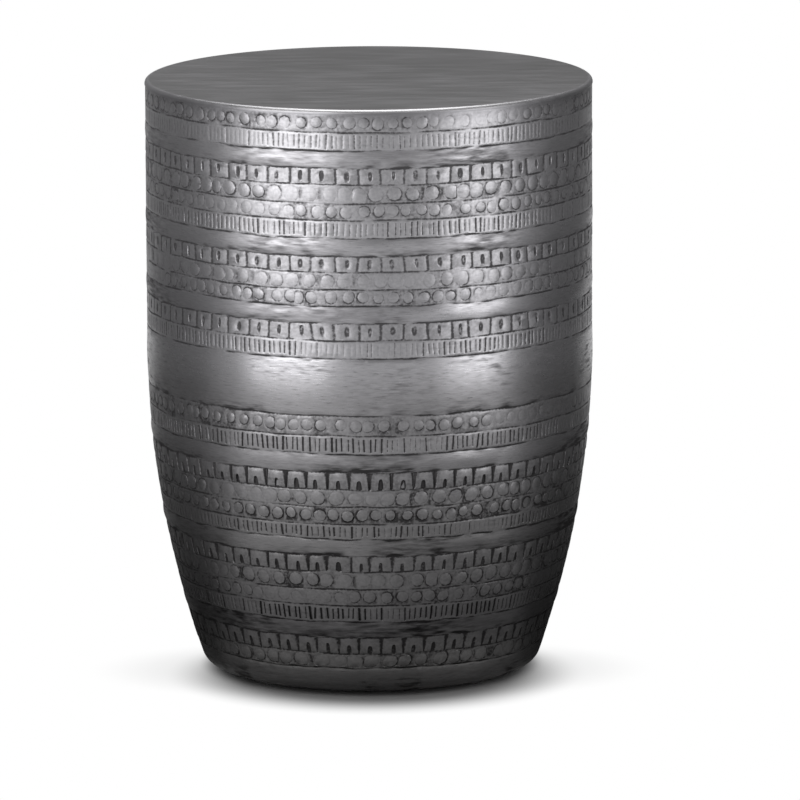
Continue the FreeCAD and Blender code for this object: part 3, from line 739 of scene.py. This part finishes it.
def disc_mesh(name, points, upper_pole, lower_pole):
    """A closed disc from points[row, column] with rows from the middle of the upper face round the rim to
    the middle of the lower face. A fan of triangles closes the middle on each face."""
    rows, columns = points.shape[:2]
    number = np.arange(rows * columns).reshape(rows, columns)
    ahead = np.roll(number, -1, axis=1)
    quads = np.stack([number[:-1], number[1:], ahead[1:], ahead[:-1]], -1).reshape(-1, 4)
    top, under = rows * columns, rows * columns + 1
    upper_fan = np.stack([np.full(columns, top), number[0], ahead[0]], -1)
    lower_fan = np.stack([np.full(columns, under), ahead[-1], number[-1]], -1)
    spots = np.concatenate([points.reshape(-1, 3), [upper_pole, lower_pole]]) * MM
    mesh = bpy.data.meshes.new(name)
    mesh.from_pydata(spots.tolist(), [], quads.tolist() + upper_fan.tolist() + lower_fan.tolist())
    mesh.polygons.foreach_set("use_smooth", np.ones(len(mesh.polygons), bool))
    mesh.set_sharp_from_angle(angle=math.radians(60))
    piece = bpy.data.objects.new(name, mesh)
    bpy.context.scene.collection.objects.link(piece)
    return piece


def burnished_top():
    """Aluminium rubbed down flat with a fine pad in long strokes: an even, soft grey sheen with faint
    level strokes and clouds, a rim painted paler as a painted highlight, and a brighter painted highlight
    on its crest, strongest at the front."""
    material, tree, place = bare_material("burnished_aluminium_top")
    stroke_place = add_node(
        tree, "ShaderNodeMapping", {"Vector": place, "Scale": (spread(45), spread(9), spread(45))})
    stroke_place = stroke_place.outputs[0]
    strokes = add_node(
        tree, "ShaderNodeTexNoise", {"Vector": stroke_place, "Scale": 1.0, "Detail": 5.0}).outputs[0]
    clouds = add_node(
        tree, "ShaderNodeTexNoise", {"Vector": place, "Scale": spread(80), "Detail": 3.0}).outputs[0]
    mixed = add_node(tree, "ShaderNodeMath", {0: clouds, 1: 0.6, 2: strokes}, operation="MULTIPLY_ADD")
    amount = add_node(
        tree, "ShaderNodeMapRange", {"Value": mixed.outputs[0], "From Min": 0.5, "From Max": 1.1})
    face = add_node(
        tree, "ShaderNodeMix", {0: amount.outputs[0], 6: linear("#595859"), 7: linear("#7b7a7c")},
        data_type="RGBA")
    flat = add_node(tree, "ShaderNodeMapping", {"Vector": place, "Scale": (1.0, 1.0, 0.0)})
    away = add_node(tree, "ShaderNodeVectorMath", {0: flat.outputs[0]}, operation="LENGTH").outputs["Value"]
    # Painted highlight: the rim's round is paler than the face
    near_edge = add_node(
        tree, "ShaderNodeMapRange",
        {"Value": away, "From Min": (plate_radius - rim_round - 0.8) * MM,
         "From Max": (plate_radius - 0.6 * rim_round) * MM})
    rise = add_node(tree, "ShaderNodeSeparateXYZ", {"Vector": place}).outputs["Z"]
    crest_low = plate_top - 3.2
    crest_high = plate_top - 1.8
    on_crest = add_node(
        tree, "ShaderNodeMapRange", {"Value": rise, "From Min": crest_low * MM, "From Max": crest_high * MM})
    # Painted highlight: the crest is brighter, most at the front
    painted_crest_highlight = add_node(tree, "ShaderNodeAttribute", attribute_name="painted_crest_highlight").outputs["Fac"]
    crest_with_painted_highlight = add_node(tree, "ShaderNodeMath", {0: painted_crest_highlight, 1: on_crest.outputs[0]}, operation="MULTIPLY")
    rim = add_node(
        tree, "ShaderNodeMix", {0: crest_with_painted_highlight.outputs[0], 6: linear("#7e7d80"), 7: linear("#b4b3b5")},
        data_type="RGBA")
    colour = add_node(
        tree, "ShaderNodeMix", {0: near_edge.outputs[0], 6: face.outputs[2], 7: rim.outputs[2]},
        data_type="RGBA")
    rough = add_node(
        tree, "ShaderNodeMapRange",
        {"Value": mixed.outputs[0], "From Min": 0.5, "From Max": 1.1, "To Min": 0.33, "To Max": 0.47})
    bump = add_node(tree, "ShaderNodeBump", {"Height": strokes, "Strength": 0.08, "Distance": 0.1 * MM})
    shader = add_node(
        tree, "ShaderNodeBsdfPrincipled",
        {"Base Color": colour.outputs[2], "Metallic": 1.0, "Roughness": rough.outputs[0],
         "Normal": bump.outputs[0]})
    add_node(tree, "ShaderNodeOutputMaterial", {"Surface": shader.outputs[0]})
    return material


radius, height = plate_outline()
plate_columns = 360
plate_angle = 2 * np.pi * np.arange(plate_columns) / plate_columns
uneven = wander(plate_angle, 71, 2, 9, 0.05) * (radius / plate_radius) ** 2 * (height > plate_under)
plate_points = turned(plate_angle, radius + uneven, height)
plate = disc_mesh("top_plate_spun", plate_points, (0, 0, plate_top), (0, 0, plate_under))

# How strong the painted highlight on the rim's crest is: most over about 40 degrees to each side of the
# front, little behind
front = np.pi
half_reach = 0.68
painted_crest_highlight = 0.2 + 0.8 * np.exp(-((plate_angle - front) / half_reach) ** 4)
at_poles = [0, 0]
crest_highlight_layer = plate.data.attributes.new("painted_crest_highlight", "FLOAT", "POINT")
crest_highlight_layer.data.foreach_set("value", np.append(np.tile(painted_crest_highlight, radius.size), at_poles).astype(np.float32))
plate.data.materials.append(burnished_top())
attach(plate, "root")
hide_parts("top_plate")


# Screws, washers and nuts: stock steel fasteners, zinc plated. Eight wood screws hold the board from
# below, and a countersunk screw, a washer and a nut hold each glide.
def zinc_plate():
    """Bright zinc on steel: pale grey metal with soft bluish clouds and fine scratches from the driver."""
    material, tree, place = bare_material("zinc_plated_steel")
    cloud = add_node(
        tree, "ShaderNodeTexNoise", {"Vector": place, "Scale": spread(6), "Detail": 3.0}).outputs[0]
    scratch = add_node(
        tree, "ShaderNodeTexNoise", {"Vector": place, "Scale": spread(0.6), "Detail": 4.0}).outputs[0]
    colour = add_node(
        tree, "ShaderNodeMix", {0: cloud, 6: linear("#b4b6ba"), 7: linear("#d2d1cc")}, data_type="RGBA")
    rough = add_node(
        tree, "ShaderNodeMapRange",
        {"Value": scratch, "From Min": 0.3, "From Max": 0.7, "To Min": 0.24, "To Max": 0.42})
    shader = add_node(
        tree, "ShaderNodeBsdfPrincipled",
        {"Base Color": colour.outputs[2], "Metallic": 1.0, "Roughness": rough.outputs[0]})
    add_node(tree, "ShaderNodeOutputMaterial", {"Surface": shader.outputs[0]})
    return material


zinc = zinc_plate()
for node in ("top_screws", "top_washers", "glide_screws", "glide_washers", "glide_nuts"):
    refinish(node, zinc)


# Glides: four moulded pads of black nylon screwed under the flange. They lift the sheet off the floor by
# a few millimetres, which leaves the dark line under the toe.
def black_nylon():
    """Moulded black nylon: nearly black, dull, with a fine spark-eroded grain and greyish scuffs."""
    material, tree, place = bare_material("moulded_black_nylon")
    grain = add_node(
        tree, "ShaderNodeTexNoise", {"Vector": place, "Scale": spread(0.5), "Detail": 2.0}).outputs[0]
    scuff = add_node(
        tree, "ShaderNodeTexNoise", {"Vector": place, "Scale": spread(7), "Detail": 5.0}).outputs[0]
    amount = add_node(tree, "ShaderNodeMapRange", {"Value": scuff, "From Min": 0.5, "From Max": 0.8})
    colour = add_node(
        tree, "ShaderNodeMix", {0: amount.outputs[0], 6: linear("#131313"), 7: linear("#333230")},
        data_type="RGBA")
    bump = add_node(tree, "ShaderNodeBump", {"Height": grain, "Strength": 0.2, "Distance": 0.05 * MM})
    rough = add_node(
        tree, "ShaderNodeMapRange",
        {"Value": scuff, "From Min": 0.3, "From Max": 0.7, "To Min": 0.48, "To Max": 0.68})
    shader = add_node(
        tree, "ShaderNodeBsdfPrincipled",
        {"Base Color": colour.outputs[2], "Roughness": rough.outputs[0], "Normal": bump.outputs[0]})
    add_node(tree, "ShaderNodeOutputMaterial", {"Surface": shader.outputs[0]})
    return material


nylon = black_nylon()
for node in ("base_glide_1", "base_glide_2", "base_glide_3", "base_glide_4"):
    refinish(node, nylon)


# Floor: a wide sheet of paper. Under and just before the table it is grey lit paper that takes the
# real shadow, while its grey and the ovals that bound it paint the shadow darker and give it its shape:
# partly real shadow, partly painted shadow. A faint painted shadow reaches further to the left and right,
# and beyond that it is the white of the background.

# Three ovals on the paper: half width, half depth and centre in metres, then how far out, as a share of
# the oval, the white starts and is full, and how white the paper is before it starts
before_table = (0.110, 0.102, 0.003, -0.045, 1.0, 1.654, 0.0)
round_foot = (0.126, 0.126, 0.0, 0.0, 1.0, 1.19, 0.0)
# Painted shadow: the widest oval keeps a faint grey to the left and right
faint_painted_shadow_oval = (0.215, 0.115, 0.0, -0.030, 0.75, 1.15, 0.82)


def paper_with_painted_shadow():
    """Matt grey paper that gives way to an even white away from the table, for what is seen straight, in a
    mirror or through glass. The way out is measured on three ovals, and the white is their product. The
    paper's grey and the ovals paint the shadow near the table darker and shape it, over the real shadow
    that the paper takes."""
    material, tree, place = bare_material("paper_with_painted_shadow")
    far = 1.0
    for oval in (before_table, round_foot, faint_painted_shadow_oval):
        half_width, half_depth, centre_x, centre_y, first, last, least = oval
        scaled = add_node(
            tree, "ShaderNodeMapping",
            {"Vector": place, "Location": (-centre_x / half_width, -centre_y / half_depth, 0.0),
             "Scale": (1 / half_width, 1 / half_depth, 1.0)})
        away = add_node(tree, "ShaderNodeVectorMath", {0: scaled.outputs[0]}, operation="LENGTH")
        fade = add_node(
            tree, "ShaderNodeMapRange",
            {"Value": away.outputs["Value"], "From Min": first, "From Max": last, "To Min": least},
            interpolation_type="SMOOTHSTEP")
        far = add_node(tree, "ShaderNodeMath", {0: far, 1: fade.outputs[0]}, operation="MULTIPLY")
        far = far.outputs[0]
    path = add_node(tree, "ShaderNodeLightPath").outputs
    straight = add_node(
        tree, "ShaderNodeMath", {0: path["Is Camera Ray"], 1: path["Is Glossy Ray"]}, operation="MAXIMUM")
    seen = add_node(
        tree, "ShaderNodeMath", {0: straight.outputs[0], 1: path["Is Transmission Ray"]}, operation="MAXIMUM")
    share = add_node(tree, "ShaderNodeMath", {0: far, 1: seen.outputs[0]}, operation="MULTIPLY")
    # Painted shadow: the paper's grey darkens the shadow near the table, over the real shadow it takes
    paper = add_node(tree, "ShaderNodeBsdfDiffuse", {"Color": linear("#c4c4c4")})
    white = add_node(tree, "ShaderNodeEmission", {"Color": linear("#ffffff"), "Strength": 1.0})
    mixed = add_node(
        tree, "ShaderNodeMixShader", {0: share.outputs[0], 1: paper.outputs[0], 2: white.outputs[0]})
    add_node(tree, "ShaderNodeOutputMaterial", {"Surface": mixed.outputs[0]})
    return material


def stage_mesh(name, spots, faces, material):
    """A piece of the studio, not of the table."""
    mesh = bpy.data.meshes.new(name)
    mesh.from_pydata(spots, [], faces)
    mesh.materials.append(material)
    piece = bpy.data.objects.new(name, mesh)
    bpy.context.scene.collection.objects.link(piece)
    return piece


floor_half = 9.0
floor_spots = [
    (-floor_half, -floor_half, 0), (floor_half, -floor_half, 0),
    (floor_half, floor_half, 0), (-floor_half, floor_half, 0),
]
paper_floor = stage_mesh("floor", floor_spots, [(0, 1, 2, 3)], paper_with_painted_shadow())


# Studio: a grey room with a soft lamp overhead, a large one to the left of the camera and a narrower one
# to the right. The side lamps are kept off the paper. A grey flag on each side and a net on the floor in
# front show only in the metal: they keep the drum's edges and its foot dark, as such metal is lit.
room = bpy.data.worlds.new("grey_room")
room.use_nodes = True
room.node_tree.nodes["Background"].inputs["Color"].default_value = linear("#ffffff")
room.node_tree.nodes["Background"].inputs["Strength"].default_value = 0.36
bpy.context.scene.world = room


def soft_lamp(name, place, aim, size, radiance):
    """A rectangular soft lamp of a given brightness: its power is brightness times area times pi."""
    lamp = bpy.data.lights.new(name, "AREA")
    lamp.shape = "RECTANGLE"
    lamp.size, lamp.size_y = size
    lamp.energy = radiance * size[0] * size[1] * math.pi
    holder = bpy.data.objects.new(name, lamp)
    holder.location = place
    holder.rotation_euler = (Vector(aim) - Vector(place)).to_track_quat("-Z", "Y").to_euler()
    holder.visible_camera = False
    bpy.context.scene.collection.objects.link(holder)
    return holder


soft_lamp("top_lamp", (0, 0.55, 2.3), (0, 0, 0.3), (1.8, 1.8), 3.0)
off_floor = bpy.data.collections.new("lit_by_side_lamps")
off_floor.objects.link(paper_floor)
off_floor.collection_objects[0].light_linking.link_state = "EXCLUDE"
left_lamp = soft_lamp("left_lamp", (-1.08, -1.265, 0.80), (0, 0, 0.45), (1.28, 1.5), 3.6)
right_lamp = soft_lamp("right_lamp", (1.385, -0.975, 0.65), (0, 0, 0.40), (0.95, 1.3), 2.75)
left_lamp.light_linking.receiver_collection = off_floor
right_lamp.light_linking.receiver_collection = off_floor


def screen(name, arcs, weave, shade):
    """A cloth seen only in the metal, hung between arcs round the drum's axis. Each arc is given by its
    first and last bearing in degrees, its radius and its height. The weave is how closed the cloth is, in
    even steps from its first edge to its last; the rest is holes, so the metal shades off softly."""
    steps = 32
    share = np.linspace(0, 1, steps + 1)
    first, last, radius, height = np.array(arcs).T[:, :, None]
    bearing = np.radians(first + share * (last - first))
    spots = [radius * np.sin(bearing), -radius * np.cos(bearing), height]
    spots = np.stack(np.broadcast_arrays(*spots), -1).reshape(-1, 3)
    number = np.arange(len(arcs) * (steps + 1)).reshape(len(arcs), steps + 1)
    faces = np.stack([number[:-1, :-1], number[:-1, 1:], number[1:, 1:], number[1:, :-1]], -1)
    cloth, tree, _ = bare_material(name + "_cloth")
    closed = add_node(tree, "ShaderNodeAttribute", attribute_name="weave").outputs["Fac"]
    holes = add_node(tree, "ShaderNodeBsdfTransparent")
    threads = add_node(tree, "ShaderNodeBsdfDiffuse", {"Color": linear(shade)})
    surface = add_node(tree, "ShaderNodeMixShader", {0: closed, 1: holes.outputs[0], 2: threads.outputs[0]})
    add_node(tree, "ShaderNodeOutputMaterial", {"Surface": surface.outputs[0]})
    hung = stage_mesh(name, spots.tolist(), faces.reshape(-1, 4).tolist(), cloth)
    closing = np.interp(share, np.linspace(0, 1, len(weave)), weave)
    hung.data.attributes.new("weave", "FLOAT", "POINT")
    hung.data.attributes["weave"].data.foreach_set("value", np.tile(closing, len(arcs)).astype(np.float32))
    hung.visible_camera = False
    hung.visible_diffuse = False
    hung.visible_shadow = False


flag_weave = (0, 0.55, 0.95, 1, 1, 1, 0.85, 0.4, 0.1)
net_weave = (0, 0.75)
left_arcs = [
    (-50, -172, 0.138, 0.001), (-36, -172, 0.152, 0.004), (-47, -134, 0.36, 0.25), (-54, -185, 0.8, 0.8)]
right_arcs = [(50, 172, 0.138, 0.001), (36, 172, 0.152, 0.004), (47, 130, 0.36, 0.25), (56, 180, 0.8, 0.8)]
net_arcs = [(-15, 60, 0.2, 0.001), (-15, 60, 0.9, 0.001)]
screen("left_flag", left_arcs, flag_weave, "#989898")
screen("right_flag", right_arcs, flag_weave, "#7c7c7c")
screen("front_net", net_arcs, net_weave, "#808080")


# Camera: seven metres back with a long lens and a metre above the table's top, so that the walls look
# upright and the top shows as a thin oval. The shift puts the table left of the middle and a little high.
aim = Vector((0, 0, 0.254))
lens = bpy.data.cameras.new("camera")
lens.lens = 374.4
lens.sensor_width = 36.0
lens.shift_x = 0.0376
lens.shift_y = -0.0360
lens.clip_end = 100.0
camera = bpy.data.objects.new("camera", lens)
camera.location = (0, -7.0, 1.5292)
camera.rotation_euler = (aim - camera.location).to_track_quat("-Z", "Y").to_euler()
camera.rotation_euler.rotate_axis("Z", math.radians(-0.27))
bpy.context.scene.collection.objects.link(camera)
bpy.context.scene.camera = camera
bpy.context.scene.view_settings.view_transform = "Standard"
